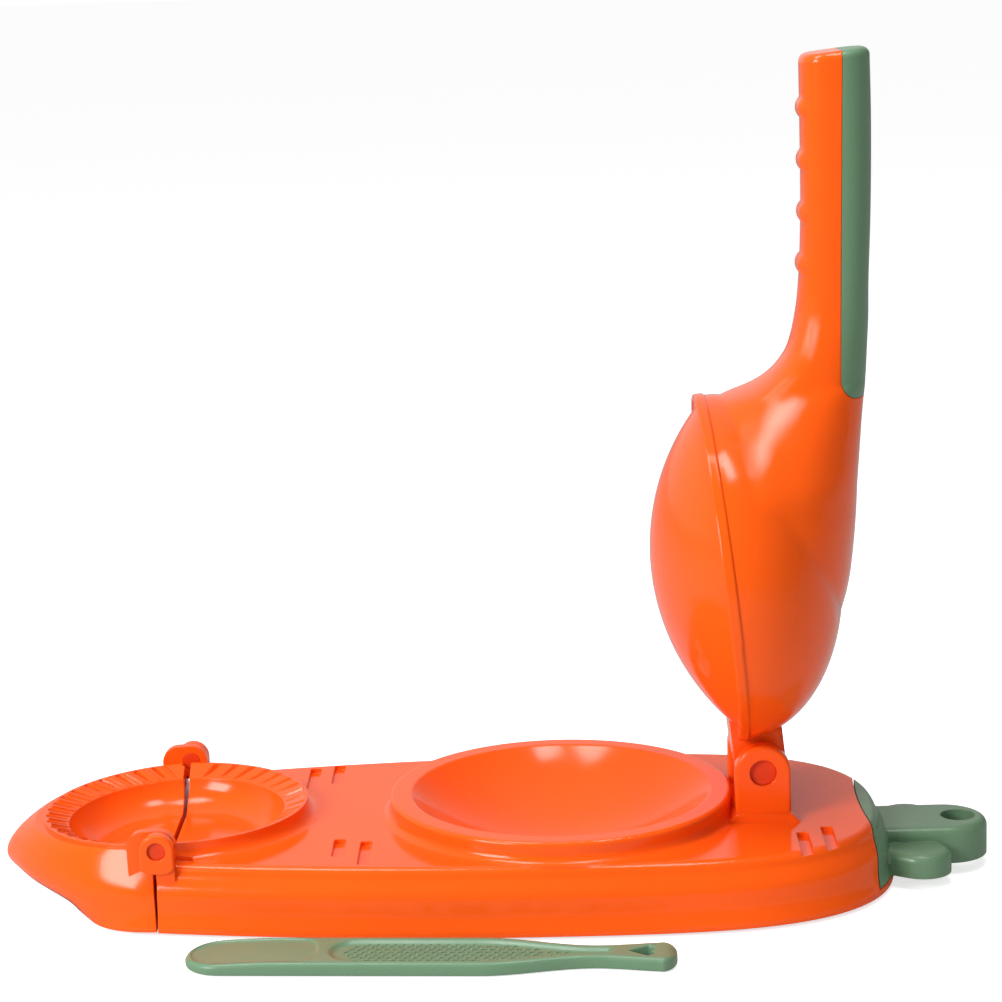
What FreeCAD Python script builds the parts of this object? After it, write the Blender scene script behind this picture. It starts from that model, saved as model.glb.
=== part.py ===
import FreeCAD, Part
import math
import os

# A two-way dumpling maker: a long base with a pressing bowl and half of a wrapping mould,
# a folding flap with the other half, a hinged press, a leaf with a hanging hole and a spoon.
# Millimetres. X runs along the base, Y across it, Z up. The origin is on the table under the bowl.

# Moulded walls and clearances
wall = 2.2
press_wall = 2.4
part_gap = 0.4
seat_gap = 0.12
running_gap = 0.05
fixed_gap = 0.02
swing_gap = 0.5
closing_gap = 0.3
# How far a cutting shape passes the surface it cuts, and a length beyond every piece
over = 1.0
beyond = 300.0
tiny = 0.01

# Base body
base_end = 119.5
base_half_width = 71.3
split_x = -141.0
split_taper = 13.3
base_foot_z = 1.0
deck_z = 23.9
deck_inset = 4.2
deck_round = 3.0
end_power = 3.4
end_root = 2.5
# Height and inset of the two soft ledges round the side wall
ledge_levels = [(4.2, 0.15), (7.4, 1.2), (13.8, 1.7), (16.8, 2.8)]

# Pressing bowl
ring_radius = 62.0
ring_top_z = 31.3
ring_foot = 3.0
ring_foot_drop = 7.0
bowl_radius = 54.3
bowl_depth = 20.8
bowl_edge_round = 1.2
ring_edge_round = 1.5

# Wrapping mould, shared by the base and the flap
mould_x = -140.0
mould_radius = 48.0
mould_axis_z = 30.0
mould_depth = 14.0
mould_floor_radius = 24.0
mould_belly_in = 3.6
mould_belly_rise = 0.34
band_width = 7.5
band_drop = 3.6
lip_width = 1.4
mould_flare = 4.0
tooth_count = 19
tooth_first = 9.5
tooth_half_width = 1.5
tooth_crest = -0.4
tooth_hook = 0.85
tooth_slant = 6.5
tooth_rise = 0.8
tooth_tip = 0.3
tooth_room = 0.35
tooth_end = 0.5
crimp_depth = 2.5
crimp_fall = 0.97
valley_half_width = 1.4

# Flap hinge ears and pins
flap_pin_radius = 3.2
flap_pin_recess = 0.9
ear_radius = 6.0
ear_thickness = 4.5
ear_outer_y = 57.2
flap_ear_thickness = 3.6
flap_ear_reach = 5.0
ear_sweep = 8.6
ear_sink = 2.0
ear_round = 1.0
ear_root_step = 2.2
ear_root_drop = 7.0
flap_root_drop = 4.0
flap_root_step = 2.0

# Flap body: height, lean-in at the split, nose length and plan roundness of each level
nose_power = 2.35
flap_end_gap = 1.4
flap_taper = 0.12
flap_levels = [
    (1.4, 0.0, 30.0, 4.0),
    (4.2, 0.15, 42.0, 1.7),
    (9.0, 1.3, 55.0, 1.2),
    (15.0, 2.2, 60.8, 1.25),
    (20.0, 4.2, 59.4, 1.4),
    (24.8, 6.8, 55.0, 1.7),
    (28.6, 9.0, 48.6, 2.0),
]

# Press hinge
pin_x = 71.8
pin_z = 41.3
pin_radius = 4.75
pin_recess = 1.4
cheek_radius = 9.9
cheek_thickness = 7.5
cheek_outer_y = 21.0
cheek_foot = 3.0
cheek_round = 1.2
tail_radius = 9.3
tail_top = 9.0
tail_length = 18.0
heel_width = 8.0
press_open_angle = 83.8

# Press, drawn closed over the bowl
rim_radius = 62.3
rim_height = 4.0
rim_round = 0.9
rim_gap = 2.9
shell_radius = 61.6
shell_spring = 4.2
shell_rise = 40.5
shell_power = 2.0
shell_steps = 9
dome_edge_radius = 57.5
dome_gap = 1.0
dome_lip = 0.5
dome_flange = 2.4
dome_flange_radius = 59.9

# Handle: station, underside, widest height, back, half width, roundness of the back and of the underside
handle_stations = [
    (-175.7, 84.7, 95.6, 108.9, 13.4, 2.4, 3.0),
    (-150.0, 82.2, 93.6, 106.6, 13.9, 2.4, 3.0),
    (-120.0, 79.0, 90.6, 103.1, 14.1, 2.4, 3.0),
    (-94.9, 75.1, 87.3, 99.6, 14.3, 2.4, 2.8),
    (-82.8, 71.9, 83.3, 98.2, 15.0, 2.4, 2.6),
    (-73.7, 68.0, 78.0, 96.8, 16.2, 2.4, 2.5),
    (-67.4, 62.0, 71.5, 95.8, 17.6, 2.5, 2.4),
    (-63.6, 55.2, 66.0, 95.2, 19.0, 2.5, 2.3),
    (-60.0, 42.0, 61.0, 94.6, 21.5, 2.4, 2.2),
    (-54.0, 36.0, 54.0, 93.4, 28.5, 2.0, 2.2),
    (-46.0, 36.0, 48.5, 91.8, 38.0, 1.85, 2.2),
    (-36.0, 37.0, 45.5, 89.9, 47.0, 1.85, 2.2),
    (-28.0, 38.0, 44.5, 88.3, 51.0, 1.95, 2.2),
    (-8.0, 39.0, 44.5, 84.7, 52.0, 2.1, 2.2),
    (12.0, 40.0, 45.0, 79.8, 46.0, 2.1, 2.2),
    (30.0, 41.0, 46.0, 71.5, 37.0, 2.1, 2.2),
]
section_points = 20
section_step = 6.0
handle_end_round = 2.8
grip_ridges = [-157.2, -139.3, -121.4, -103.5]
ridge_radius = 5.0
ridge_proud = 1.2
ridge_reach = 5.5

# Green cover on the back of the handle
seat_x = -174.5
seat_z = 98.2
seat_fall = 0.119
cover_half_width = 17.5
cover_tip_x = -56.0
cover_corner = 5.0
cover_end_round = 7.0

# Leaf
leaf_cut_x = 107.6
leaf_cut_radius = 260.0
leaf_cut_half_width = 44.0
leaf_cut_z = 3.4
leaf_tip_x = 154.4
leaf_top_z = 17.2
leaf_bottom_z = 4.0
leaf_half_width = 15.0
leaf_round = 3.0
hole_radius = 6.2
hole_x = 144.0
lobe_top_z = 12.4
lobe_length = 15.8
lobe_half_width = 10.5
lobe_x = 128.0
lobe_y = 21.0
lobe_turn = 33.0
tongue_length = 9.0
tongue_half_width = 26.0
tongue_z = 8.0
tongue_thickness = 3.0
leaf_root = 4.0

# Shallow grooves in the deck: centre and length
groove_width = 4.2
groove_depth = 1.6
groove_corner = 1.4
grooves = [(-78.5, -39.5, 19.0), (-69.0, -45.5, 25.0), (-93.0, 42.3, 25.5), (-84.0, 46.8, 23.5)]

# Feet
foot_radius = 6.5
foot_boss_wall = 2.0
foot_sunk = 1.2
foot_places = {
    "foot_front_left": (-98.0, -44.0),
    "foot_back_left": (-98.0, 44.0),
    "foot_front_right": (88.0, -38.0),
    "foot_back_right": (88.0, 38.0),
    "foot_centre": (0.0, 0.0),
}

# Spoon, lying on the table in front of the base
spoon_length = 165.0
spoon_half_width = 12.6
spoon_neck_half_width = 5.6
spoon_end_half_width = 8.6
spoon_thickness = 4.6
spoon_shoulder = 100.0
spoon_neck = 138.0
spoon_rim = 2.6
spoon_panel_depth = 1.4
spoon_pad_length = 45.0
spoon_panel_start = 50.0
spoon_edge_round = 1.6
spoon_butt = 0.6
spoon_steps = 12
pad_depth = 0.5
heart_x = 155.0
heart_radius = 2.4
heart_spread = 2.05
heart_point = 6.2
spoon_x = -128.0
spoon_y = -84.0
spoon_turn = -4.0

os.makedirs("parts", exist_ok=True)
up = FreeCAD.Vector(0, 0, 1)
along_y = FreeCAD.Vector(0, 1, 0)


def vec(x, y, z):
    return FreeCAD.Vector(x, y, z)


# A smooth open curve through points, or a closed one
def spline(points, closed=False):
    curve = Part.BSplineCurve()
    curve.interpolate(Points=points, PeriodicFlag=closed)
    return curve.toShape()


def polygon_face(points):
    return Part.Face(Part.makePolygon(points + [points[0]]))


def box(x0, x1, y0, y1, z0, z1):
    return Part.makeBox(x1 - x0, y1 - y0, z1 - z0, vec(x0, y0, z0))


def post(radius, z0, z1, x, y):
    return Part.makeCylinder(radius, z1 - z0, vec(x, y, z0))


# A cylinder along Y, as for pins and ears
def crossbar(radius, y0, y1, x, z):
    return Part.makeCylinder(radius, y1 - y0, vec(x, y0, z), along_y)


# A flat plate in the XZ plane, from y0 to y1
def plate(points, y0, y1):
    face = polygon_face([vec(x, y0, z) for x, z in points])
    return face.extrude(vec(0, y1 - y0, 0))


# Both sides of the base at once
def both_sides(shape):
    return [shape, shape.mirror(vec(0, 0, 0), along_y)]


# Profile edges in the plane Y = 0, turned about the vertical axis at (x, 0)
def turned(edges, x, start=0.0, sweep=360.0):
    face = Part.Face(Part.Wire(edges))
    face.translate(vec(x, 0, 0))
    face.rotate(vec(x, 0, 0), up, start)
    return face.revolve(vec(x, 0, 0), up, sweep)


def line(a, b):
    return Part.makeLine(vec(a[0], 0, a[1]), vec(b[0], 0, b[1]))


def arc(a, b, c):
    return Part.Arc(vec(a[0], 0, a[1]), vec(b[0], 0, b[1]), vec(c[0], 0, c[1])).toShape()


# Half width of the base at its foot
def base_width(x):
    if x < 0:
        return base_half_width - split_taper * (x / split_x) ** 2
    return base_half_width * (1 - (x / base_end) ** end_power) ** (1 / end_root)


# One closed outline at height z, from a list of front points that ends on the centre line
def outline(front, z):
    pts = [vec(x, -y, z) for x, y in front]
    pts += [vec(x, y, z) for x, y in reversed(front[:-1])]
    return Part.Wire([spline(pts), Part.makeLine(pts[-1], pts[0])])


def base_front(inset, start):
    shares = [0.0, 0.2, 0.38, 0.54, 0.68, 0.79, 0.88, 0.94, 0.975]
    front = []
    for share in shares:
        x = start + (base_end - start) * share
        slope = (base_width(x + 0.1) - base_width(x - 0.1)) / 0.2
        lean = math.hypot(1.0, slope)
        shift = inset if share else 0.0
        front.append((x + shift * slope / lean, base_width(x) - inset / lean))
    front.append((base_end - inset, 0.0))
    return front


# The base without its hollow
def base_block():
    levels = [(base_foot_z, 0.0)] + ledge_levels + [(deck_z, deck_inset)]
    start = split_x + part_gap
    block = Part.makeLoft([outline(base_front(d, start), z) for z, d in levels], True, False)
    top_edges = [e for e in block.Edges if e.BoundBox.ZMin > deck_z - tiny and e.BoundBox.XLength > base_end]
    return block.makeFillet(deck_round, top_edges)


def base_hollow():
    start = split_x + part_gap + wall
    floor = outline(base_front(wall, start), base_foot_z - wall)
    roof = outline(base_front(deck_inset + wall, start), deck_z - wall)
    return Part.makeLoft([floor, roof], True, False)


# The dish and its raised ring, one thickness of plastic
def bowl_ring():
    sphere = (bowl_radius ** 2 + bowl_depth ** 2) / (2 * bowl_depth)
    centre = ring_top_z - bowl_depth + sphere
    foot_radius_out = ring_radius + ring_foot
    low = deck_z - ring_foot_drop

    def dish(r, extra):
        return (r, centre - math.sqrt((sphere + extra) ** 2 - r ** 2))

    under_r = math.sqrt((sphere + wall) ** 2 - (centre - ring_top_z + wall) ** 2)
    bend = ring_foot * (1 - math.sqrt(0.5))
    edges = [
        arc(dish(0, 0), dish(bowl_radius / 2, 0), dish(bowl_radius, 0)),
        line(dish(bowl_radius, 0), (ring_radius, ring_top_z)),
        line((ring_radius, ring_top_z), (ring_radius, deck_z + ring_foot)),
        arc((ring_radius, deck_z + ring_foot), (ring_radius + bend, deck_z + bend),
            (foot_radius_out, deck_z)),
        line((foot_radius_out, deck_z), (foot_radius_out, low)),
        line((foot_radius_out, low), (ring_radius - wall, low)),
        line((ring_radius - wall, low), (ring_radius - wall, ring_top_z - wall)),
        line((ring_radius - wall, ring_top_z - wall), (under_r, ring_top_z - wall)),
        arc((under_r, ring_top_z - wall), dish(under_r / 2, wall), dish(0, wall)),
        line(dish(0, wall), dish(0, 0)),
    ]
    ring = turned(edges, 0)
    rims = {round(bowl_radius, 3): bowl_edge_round, round(ring_radius, 3): ring_edge_round}
    for radius, size in rims.items():
        edge = [e for e in ring.Edges if e.BoundBox.ZLength < tiny
                and abs(e.BoundBox.ZMin - ring_top_z) < tiny and abs(e.BoundBox.XMax - radius) < tiny]
        ring = ring.makeFillet(size, edge)
    return ring


# The curve of the mould's bowl, from its floor up to the band, sunk into the plastic by depth
def mould_curve(depth):
    floor = mould_axis_z - mould_depth
    band_in = mould_radius - lip_width - band_width
    band_z = mould_axis_z - closing_gap / 2 - band_drop
    belly = (band_in - mould_belly_in, floor + (band_z - floor) * mould_belly_rise)
    return [(mould_floor_radius, floor - depth), (belly[0] + depth / 2, belly[1] - depth),
            (band_in + depth / 2, band_z - depth)]


# The bowl's space, reaching half way into the plastic, that the walls at the split leave free
def mould_room():
    curve = mould_curve(wall / 2)
    low = (0, curve[0][1])
    high = (0, curve[-1][1])
    return turned([line(low, curve[0]), arc(*curve), line(curve[-1], high), line(high, low)], mould_x)


# Half of the wrapping mould, from its rim down to low; flare is the size of its foot on the deck
def mould_half(start, flare, low):
    top = mould_axis_z - closing_gap / 2
    face = mould_curve(0)
    under = mould_curve(wall)
    inner = mould_radius - wall
    edges = [
        line((0, face[0][1]), face[0]),
        arc(*face),
        line(face[-1], (mould_radius - lip_width, top)),
        line((mould_radius - lip_width, top), (mould_radius, top)),
    ]
    if flare:
        bend = flare * (1 - math.sqrt(0.5))
        edges += [
            line((mould_radius, top), (mould_radius, deck_z + flare)),
            arc((mould_radius, deck_z + flare), (mould_radius + bend, deck_z + bend),
                (mould_radius + flare, deck_z)),
            line((mould_radius + flare, deck_z), (mould_radius + flare, low)),
            line((mould_radius + flare, low), (inner, low)),
        ]
    else:
        edges += [
            line((mould_radius, top), (mould_radius, low)),
            line((mould_radius, low), (inner, low)),
        ]
    edges += [
        line((inner, low), (inner, top - band_drop)),
        line((inner, top - band_drop), under[-1]),
        arc(*reversed(under)),
        line(under[0], (0, under[0][1])),
        line((0, under[0][1]), (0, face[0][1])),
    ]
    return turned(edges, mould_x, start, 180.0)


# Slanted wedges round half of the mould's band, side -1 on the flap and +1 on the base;
# corners gives a wedge's section at a share of the band's width, longer its length past the band
def crimps(side, count, first, longer, corners):
    rim = mould_radius - lip_width
    solids = []
    for i in range(count):
        wires = []
        for radius in (rim + longer, rim - band_width - longer):
            share = (rim - radius) / band_width
            angle = math.radians(first + i * tooth_step() + tooth_slant * (share - 0.5) - 90.0)
            out = vec(side * math.cos(angle), math.sin(angle), 0)
            sideways = vec(-side * math.sin(angle), math.cos(angle), 0)
            middle = vec(mould_x, 0, mould_axis_z - closing_gap / 2) + out * radius
            ring = [middle + sideways * t + up * z for t, z in corners(share)]
            wires.append(Part.makePolygon(ring + [ring[0]]))
        solids.append(Part.makeLoft(wires, True, True))
    return solids


def tooth_step():
    return (180.0 - 2 * tooth_first) / (tooth_count - 1)


# Teeth that stand on the flap's band and run out towards the bowl
def flap_teeth():
    def corners(share):
        foot = -band_drop * share - wall / 2
        crest = tooth_rise - (band_drop + tooth_rise - tooth_tip) * share
        half = tooth_half_width
        return [(-half, foot), (half, foot), (tooth_crest, crest), (-half * tooth_hook, crest)]

    return crimps(-1, tooth_count, tooth_first, -tooth_end, corners)


# Grooves cut into a band, deepest under the lip
def crimp_grooves(side, count, first, half):
    def corners(share):
        floor = -crimp_depth - crimp_fall * share
        return [(-half, over), (half, over), (tooth_crest + tooth_room, floor), (-half * tooth_hook, floor)]

    return crimps(side, count, first, tooth_room, corners)


# The end of the base that the leaf takes, grown by room on every side
def leaf_room(room):
    low = leaf_cut_z - room
    half = leaf_cut_half_width + room
    disc = post(leaf_cut_radius + room, low, 2 * deck_z, leaf_cut_x + leaf_cut_radius, 0)
    return disc.common(box(0, base_end + wall, -half, half, low, 2 * deck_z))


def leaf_tongue(room):
    half = tongue_half_width + room
    return box(leaf_cut_x - tongue_length - room, leaf_cut_x + tongue_length, -half, half,
               tongue_z - room, tongue_z + tongue_thickness + room)


# A lug with a round top, its faces' edges softened, from the height low up
def lug(radius, x, z, low, y0, y1, soft):
    edges = [line((x - radius, low), (x - radius, z)), arc((x - radius, z), (x, z + radius), (x + radius, z)),
             line((x + radius, z), (x + radius, low)), line((x + radius, low), (x - radius, low))]
    face = Part.Face(Part.Wire(edges))
    face.translate(vec(0, y0, 0))
    body = face.extrude(vec(0, y1 - y0, 0))
    rims = [e for e in body.Edges if e.BoundBox.YLength < tiny and e.BoundBox.ZMax > low + tiny]
    return body.makeFillet(soft, rims)


def hinge_ears():
    ear_in = ear_outer_y - ear_thickness
    ear = lug(ear_radius, mould_x, mould_axis_z, deck_z - ear_sink, ear_in, ear_outer_y, ear_round)
    swept = crossbar(ear_sweep, ear_in, ear_outer_y, mould_x, mould_axis_z)
    # The root leans out from the side wall up to the ear
    start = split_x + part_gap
    low = deck_z - ear_root_drop
    out = ear_outer_y - ear_round
    corners = [(ear_in, low), (ear_outer_y - ear_root_step, low), (out, deck_z - ear_sink),
               (out, mould_axis_z), (ear_in, mould_axis_z)]
    side = polygon_face([vec(start, y, z) for y, z in corners])
    root = side.extrude(vec(mould_x + ear_radius - start, 0, 0))
    return both_sides(ear.common(swept).fuse(root))


def hinge_cheeks():
    cheek_in = cheek_outer_y - cheek_thickness
    cheek = lug(cheek_radius, pin_x, pin_z, deck_z - wall, cheek_in, cheek_outer_y, cheek_round)
    foot_out = cheek_radius + cheek_foot
    low = deck_z - wall
    top = deck_z + cheek_foot
    sides = [(pin_x - foot_out, low), (pin_x + foot_out, low), (pin_x + foot_out, deck_z),
             (pin_x + cheek_radius, top), (pin_x - cheek_radius, top), (pin_x - foot_out, deck_z)]
    pedestal = plate(sides, -cheek_outer_y - cheek_foot, cheek_outer_y + cheek_foot)
    return both_sides(cheek) + [pedestal]


def deck_groove(x, y, length):
    half = groove_width / 2
    slot = box(x - half, x + half, y - length / 2, y + length / 2, deck_z - groove_depth, deck_z + over)
    return slot.makeFillet(groove_corner, [e for e in slot.Edges if e.BoundBox.ZLength > groove_depth])


def base_shell():
    block = base_block()
    body = block.cut(base_hollow())
    body = body.cut(post(ring_radius - wall / 2, deck_z - 2 * wall, deck_z + over, 0, 0))
    sink = post(mould_radius - wall / 2, deck_z - 2 * wall, deck_z + over, mould_x, 0)
    body = body.cut([sink, mould_room()])
    parts = [bowl_ring(), mould_half(-90.0, mould_flare, deck_z - mould_flare - over)]
    parts += hinge_ears() + hinge_cheeks()
    # Bosses that hold the feet, and the wall behind the leaf
    for name, (x, y) in foot_places.items():
        top = deck_z - wall / 2
        if name == "foot_centre":
            top = ring_top_z - bowl_depth - wall / 2
        parts.append(post(foot_radius + foot_boss_wall, base_foot_z, top, x, y))
    parts.append(block.common(leaf_room(wall)))
    body = body.fuse(parts)
    cuts = [leaf_room(0), leaf_tongue(seat_gap)]
    for x, y in foot_places.values():
        cuts.append(post(foot_radius + fixed_gap, base_foot_z - over, base_foot_z + foot_sunk, x, y))
    # Pin holes, and notches for the flap's ears
    ear_in = ear_outer_y - ear_thickness
    ear_hole = crossbar(flap_pin_radius + fixed_gap, ear_in - over, ear_outer_y + over, mould_x, mould_axis_z)
    cuts += both_sides(ear_hole)
    cuts.append(crossbar(pin_radius + fixed_gap, -cheek_outer_y - over, cheek_outer_y + over, pin_x, pin_z))
    notch_in = ear_in - flap_ear_thickness - 2 * part_gap
    reach = ear_radius + flap_ear_reach + swing_gap
    notch_low = mould_axis_z - ear_radius - swing_gap
    cuts += both_sides(box(split_x, mould_x + reach, notch_in, ear_in, notch_low, 2 * mould_axis_z))
    for x, y, length in grooves:
        cuts += [deck_groove(x, y, length), deck_groove(-x, -y, length)]
    cuts += crimp_grooves(1, tooth_count, tooth_first, tooth_half_width + tooth_room)
    return body.cut(cuts)


# Plan of the flap at one level: lean-in, nose length and roundness
def flap_front(inset, nose, roundness, start):
    front = []
    for share in (0.0, 0.25, 0.45, 0.62, 0.76, 0.87, 0.95):
        reach = nose * share
        half = base_width(split_x) - inset - flap_taper * reach
        front.append((start - reach, half * (1 - share ** nose_power) ** (1 / roundness)))
    front.append((start - nose, 0.0))
    return front


# How far the flap hangs below level before it lies on the table
def flap_droop():
    reach = mould_x - split_x + flap_end_gap + flap_levels[0][2]
    drop = mould_axis_z - flap_levels[0][0]
    return math.degrees(math.atan2(reach, drop) - math.acos(mould_axis_z / math.hypot(reach, drop)))


def flap_shell():
    start = split_x - flap_end_gap
    outer = Part.makeLoft([outline(flap_front(d, n, r, start), z) for z, d, n, r in flap_levels], True, False)
    inner = []
    for z, d, n, r in flap_levels[:-1]:
        inner.append(outline(flap_front(d + wall, n - 2 * wall, r, start - wall), z - wall))
    body = outer.cut(Part.makeLoft(inner, True, False))
    top = flap_levels[-1][0]
    sink = post(mould_radius - wall / 2, deck_z - wall, top + over, mould_x, 0)
    body = body.cut([sink, mould_room()])
    ear_out = ear_outer_y - ear_thickness - part_gap
    ear_in = ear_out - flap_ear_thickness
    far_x = mould_x - flap_ear_reach
    ear = crossbar(ear_radius, ear_in, ear_out, mould_x, mould_axis_z)
    far = crossbar(ear_radius, ear_in, ear_out, far_x, mould_axis_z)
    middle = box(far_x, mould_x, ear_in, ear_out, mould_axis_z - ear_radius, mould_axis_z + ear_radius)
    root = box(far_x - ear_radius, start, ear_in - flap_root_step, ear_out,
               deck_z - flap_root_drop, mould_axis_z - flap_root_step)
    half = mould_half(90.0, 0, deck_z - wall).common(box(-beyond, start, -beyond, beyond, 0, beyond))
    body = body.fuse([half] + both_sides(ear.fuse([far, middle, root])) + flap_teeth())
    bore_in = ear_in - flap_root_step - over
    bore = crossbar(flap_pin_radius + running_gap, bore_in, ear_out + over, mould_x, mould_axis_z)
    notch = crossbar(ear_sweep + swing_gap, ear_out, base_half_width, mould_x, mould_axis_z)
    valleys = crimp_grooves(-1, tooth_count - 1, tooth_first + tooth_step() / 2, valley_half_width)
    body = body.cut(both_sides(bore) + both_sides(notch) + valleys)
    body.rotate(vec(mould_x, 0, mould_axis_z), along_y, -flap_droop())
    return body


# Outer surface of the press's round shell, from its top down to its rim
def shell_curve(radius, rise, z):
    points = []
    for i in range(shell_steps + 1):
        a = math.pi / 2 * i / shell_steps
        out = radius * math.sin(a) ** (2 / shell_power)
        points.append(vec(out, 0, z + rise * math.cos(a) ** (2 / shell_power)))
    points[-1] = vec(radius, 0, z)
    return spline(points)


# The round shell filled to its axis, down to the height low
def shell_block(radius, rise, z, low):
    curve = shell_curve(radius, rise, z)
    edges = [curve, line((radius, z), (radius, low)), line((radius, low), (0, low)),
             line((0, low), (0, z + rise))]
    return turned(edges, 0)


# One cross-section of the handle, pear-shaped where it runs into the round shell
def handle_section(x, inset, source_x):
    low, waist, high, half, back, under = [handle_value(source_x, column) for column in range(1, 7)]
    points = []
    for i in range(section_points):
        a = 2 * math.pi * i / section_points
        above = math.sin(a) > 0
        power = 2 / (back if above else under)
        height = high - waist if above else waist - low
        y = math.copysign(abs(math.cos(a)) ** power, math.cos(a)) * (half - inset)
        z = math.copysign(abs(math.sin(a)) ** power, math.sin(a)) * (height - inset)
        points.append(vec(x, y, waist + z))
    return Part.Wire([spline(points, True)])


# One column of the handle's stations at x, on a smooth curve through them
def handle_value(x, column):
    last = len(handle_stations) - 1
    i = 0
    while i < last - 1 and x > handle_stations[i + 1][0]:
        i += 1

    def slope(k):
        a = handle_stations[max(k - 1, 0)]
        b = handle_stations[min(k + 1, last)]
        return (b[column] - a[column]) / (b[0] - a[0])

    a = handle_stations[i]
    b = handle_stations[i + 1]
    span = b[0] - a[0]
    t = (x - a[0]) / span
    rise = t * t * (3 - 2 * t)
    ease_in = t * (1 - t) ** 2 * span * slope(i)
    ease_out = t * t * (1 - t) * span * slope(i + 1)
    return a[column] + (b[column] - a[column]) * rise + ease_in - ease_out


# The handle filled, drawn in by inset on every side
def handle_block(inset):
    at = [handle_stations[0][0]]
    for a, b in zip(handle_stations, handle_stations[1:]):
        steps = math.ceil((b[0] - a[0]) / section_step)
        at += [a[0] + (b[0] - a[0]) * (i + 1) / steps for i in range(steps)]
    wires = [handle_section(x + inset, inset, x) for x in at]
    block = Part.makeLoft(wires, True, False)
    if inset:
        return block
    end = [e for e in block.Edges if e.BoundBox.XMax < handle_stations[0][0] + tiny]
    return block.makeFillet(handle_end_round, end)


# Space that the handle's cover takes, above its sloping seat
def cover_room(room):
    half = cover_half_width + room
    tip = cover_tip_x + room
    back = 2 * seat_x
    bend = tip - cover_corner
    plan = box(back, bend, -half, half, 0, beyond)
    middle = half - cover_corner
    corners = both_sides(post(cover_corner, 0, beyond, bend, middle))
    plan = plan.fuse([box(bend, tip, -middle, middle, 0, beyond)] + corners)
    low = seat_z - room
    start = tip - cover_end_round
    end_z = low - seat_fall * (start - seat_x)
    seat = [(back, low - seat_fall * (back - seat_x)), (start, end_z), (start, beyond), (back, beyond)]
    side = plate(seat, -2 * half, 2 * half)
    round_z = end_z + cover_end_round
    side = side.fuse([crossbar(cover_end_round, -2 * half, 2 * half, start, round_z),
                      box(start, tip, -2 * half, 2 * half, round_z, beyond)])
    return plan.common(side)


def open_press(shape):
    turned_open = shape.copy()
    turned_open.rotate(vec(pin_x, 0, pin_z), along_y, press_open_angle)
    return turned_open


def press_shell():
    rim_z = ring_top_z + rim_gap
    spring_z = rim_z + shell_spring
    seat = rim_z + dome_lip + dome_flange
    body = shell_block(shell_radius, shell_rise, spring_z, rim_z)
    rim = post(rim_radius, rim_z, rim_z + rim_height, 0, 0)
    rim = rim.makeFillet(rim_round, [e for e in rim.Edges if e.BoundBox.ZLength < tiny])
    half = cheek_outer_y - cheek_thickness - swing_gap
    tail = box(pin_x - tail_length, pin_x, -half, half, pin_z - tail_radius, pin_z + tail_top)
    knuckle = crossbar(tail_radius, -half, half, pin_x, pin_z)
    heel = box(pin_x, pin_x + heel_width, -half, half, deck_z + cheek_foot + seat_gap, pin_z)
    heel.rotate(vec(pin_x, 0, pin_z), along_y, -press_open_angle)
    ridges = []
    for x in grip_ridges:
        centre = handle_value(x, 1) + ridge_radius - ridge_proud
        ridges.append(crossbar(ridge_radius, -ridge_reach, ridge_reach, x, centre))
        ridges += both_sides(Part.makeSphere(ridge_radius, vec(x, ridge_reach, centre)))
    body = body.fuse([rim, handle_block(0), tail, knuckle, heel] + ridges)
    hollow = shell_block(dome_flange_radius - press_wall, shell_rise - press_wall, spring_z, seat)
    dome_seat = post(dome_flange_radius + seat_gap, rim_z - over, seat, 0, 0)
    dome_seat = dome_seat.common(box(-beyond, pin_x - tail_length, -beyond, beyond, 0, beyond))
    bore = crossbar(pin_radius + running_gap, -half - over, half + over, pin_x, pin_z)
    cuts = [hollow, dome_seat, handle_block(press_wall), cover_room(seat_gap), bore]
    return open_press(body.cut(cuts))


def press_dome():
    rim_z = ring_top_z + rim_gap + dome_lip
    top = rim_z + dome_flange
    low = ring_top_z - bowl_depth + dome_gap
    depth = rim_z - low
    sphere = (dome_edge_radius ** 2 + depth ** 2) / (2 * depth)
    centre = low + sphere

    def face(r, inset):
        return (r, centre - math.sqrt((sphere - inset) ** 2 - r ** 2))

    inner = math.sqrt((sphere - press_wall) ** 2 - (centre - top) ** 2)
    edges = [
        arc(face(0, 0), face(dome_edge_radius / 2, 0), (dome_edge_radius, rim_z)),
        line((dome_edge_radius, rim_z), (dome_flange_radius, rim_z)),
        line((dome_flange_radius, rim_z), (dome_flange_radius, top)),
        line((dome_flange_radius, top), (inner, top)),
        arc((inner, top), face(inner / 2, press_wall), face(0, press_wall)),
        line(face(0, press_wall), face(0, 0)),
    ]
    dome = turned(edges, 0)
    tail_low = pin_z - tail_radius - over
    flat = box(pin_x - tail_length - seat_gap, beyond, -beyond, beyond, tail_low, top + over)
    return open_press(dome.cut(flat))


def handle_cover():
    cover = handle_block(0).common(cover_room(0))
    return open_press(cover.cut(handle_block(press_wall)))


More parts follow.
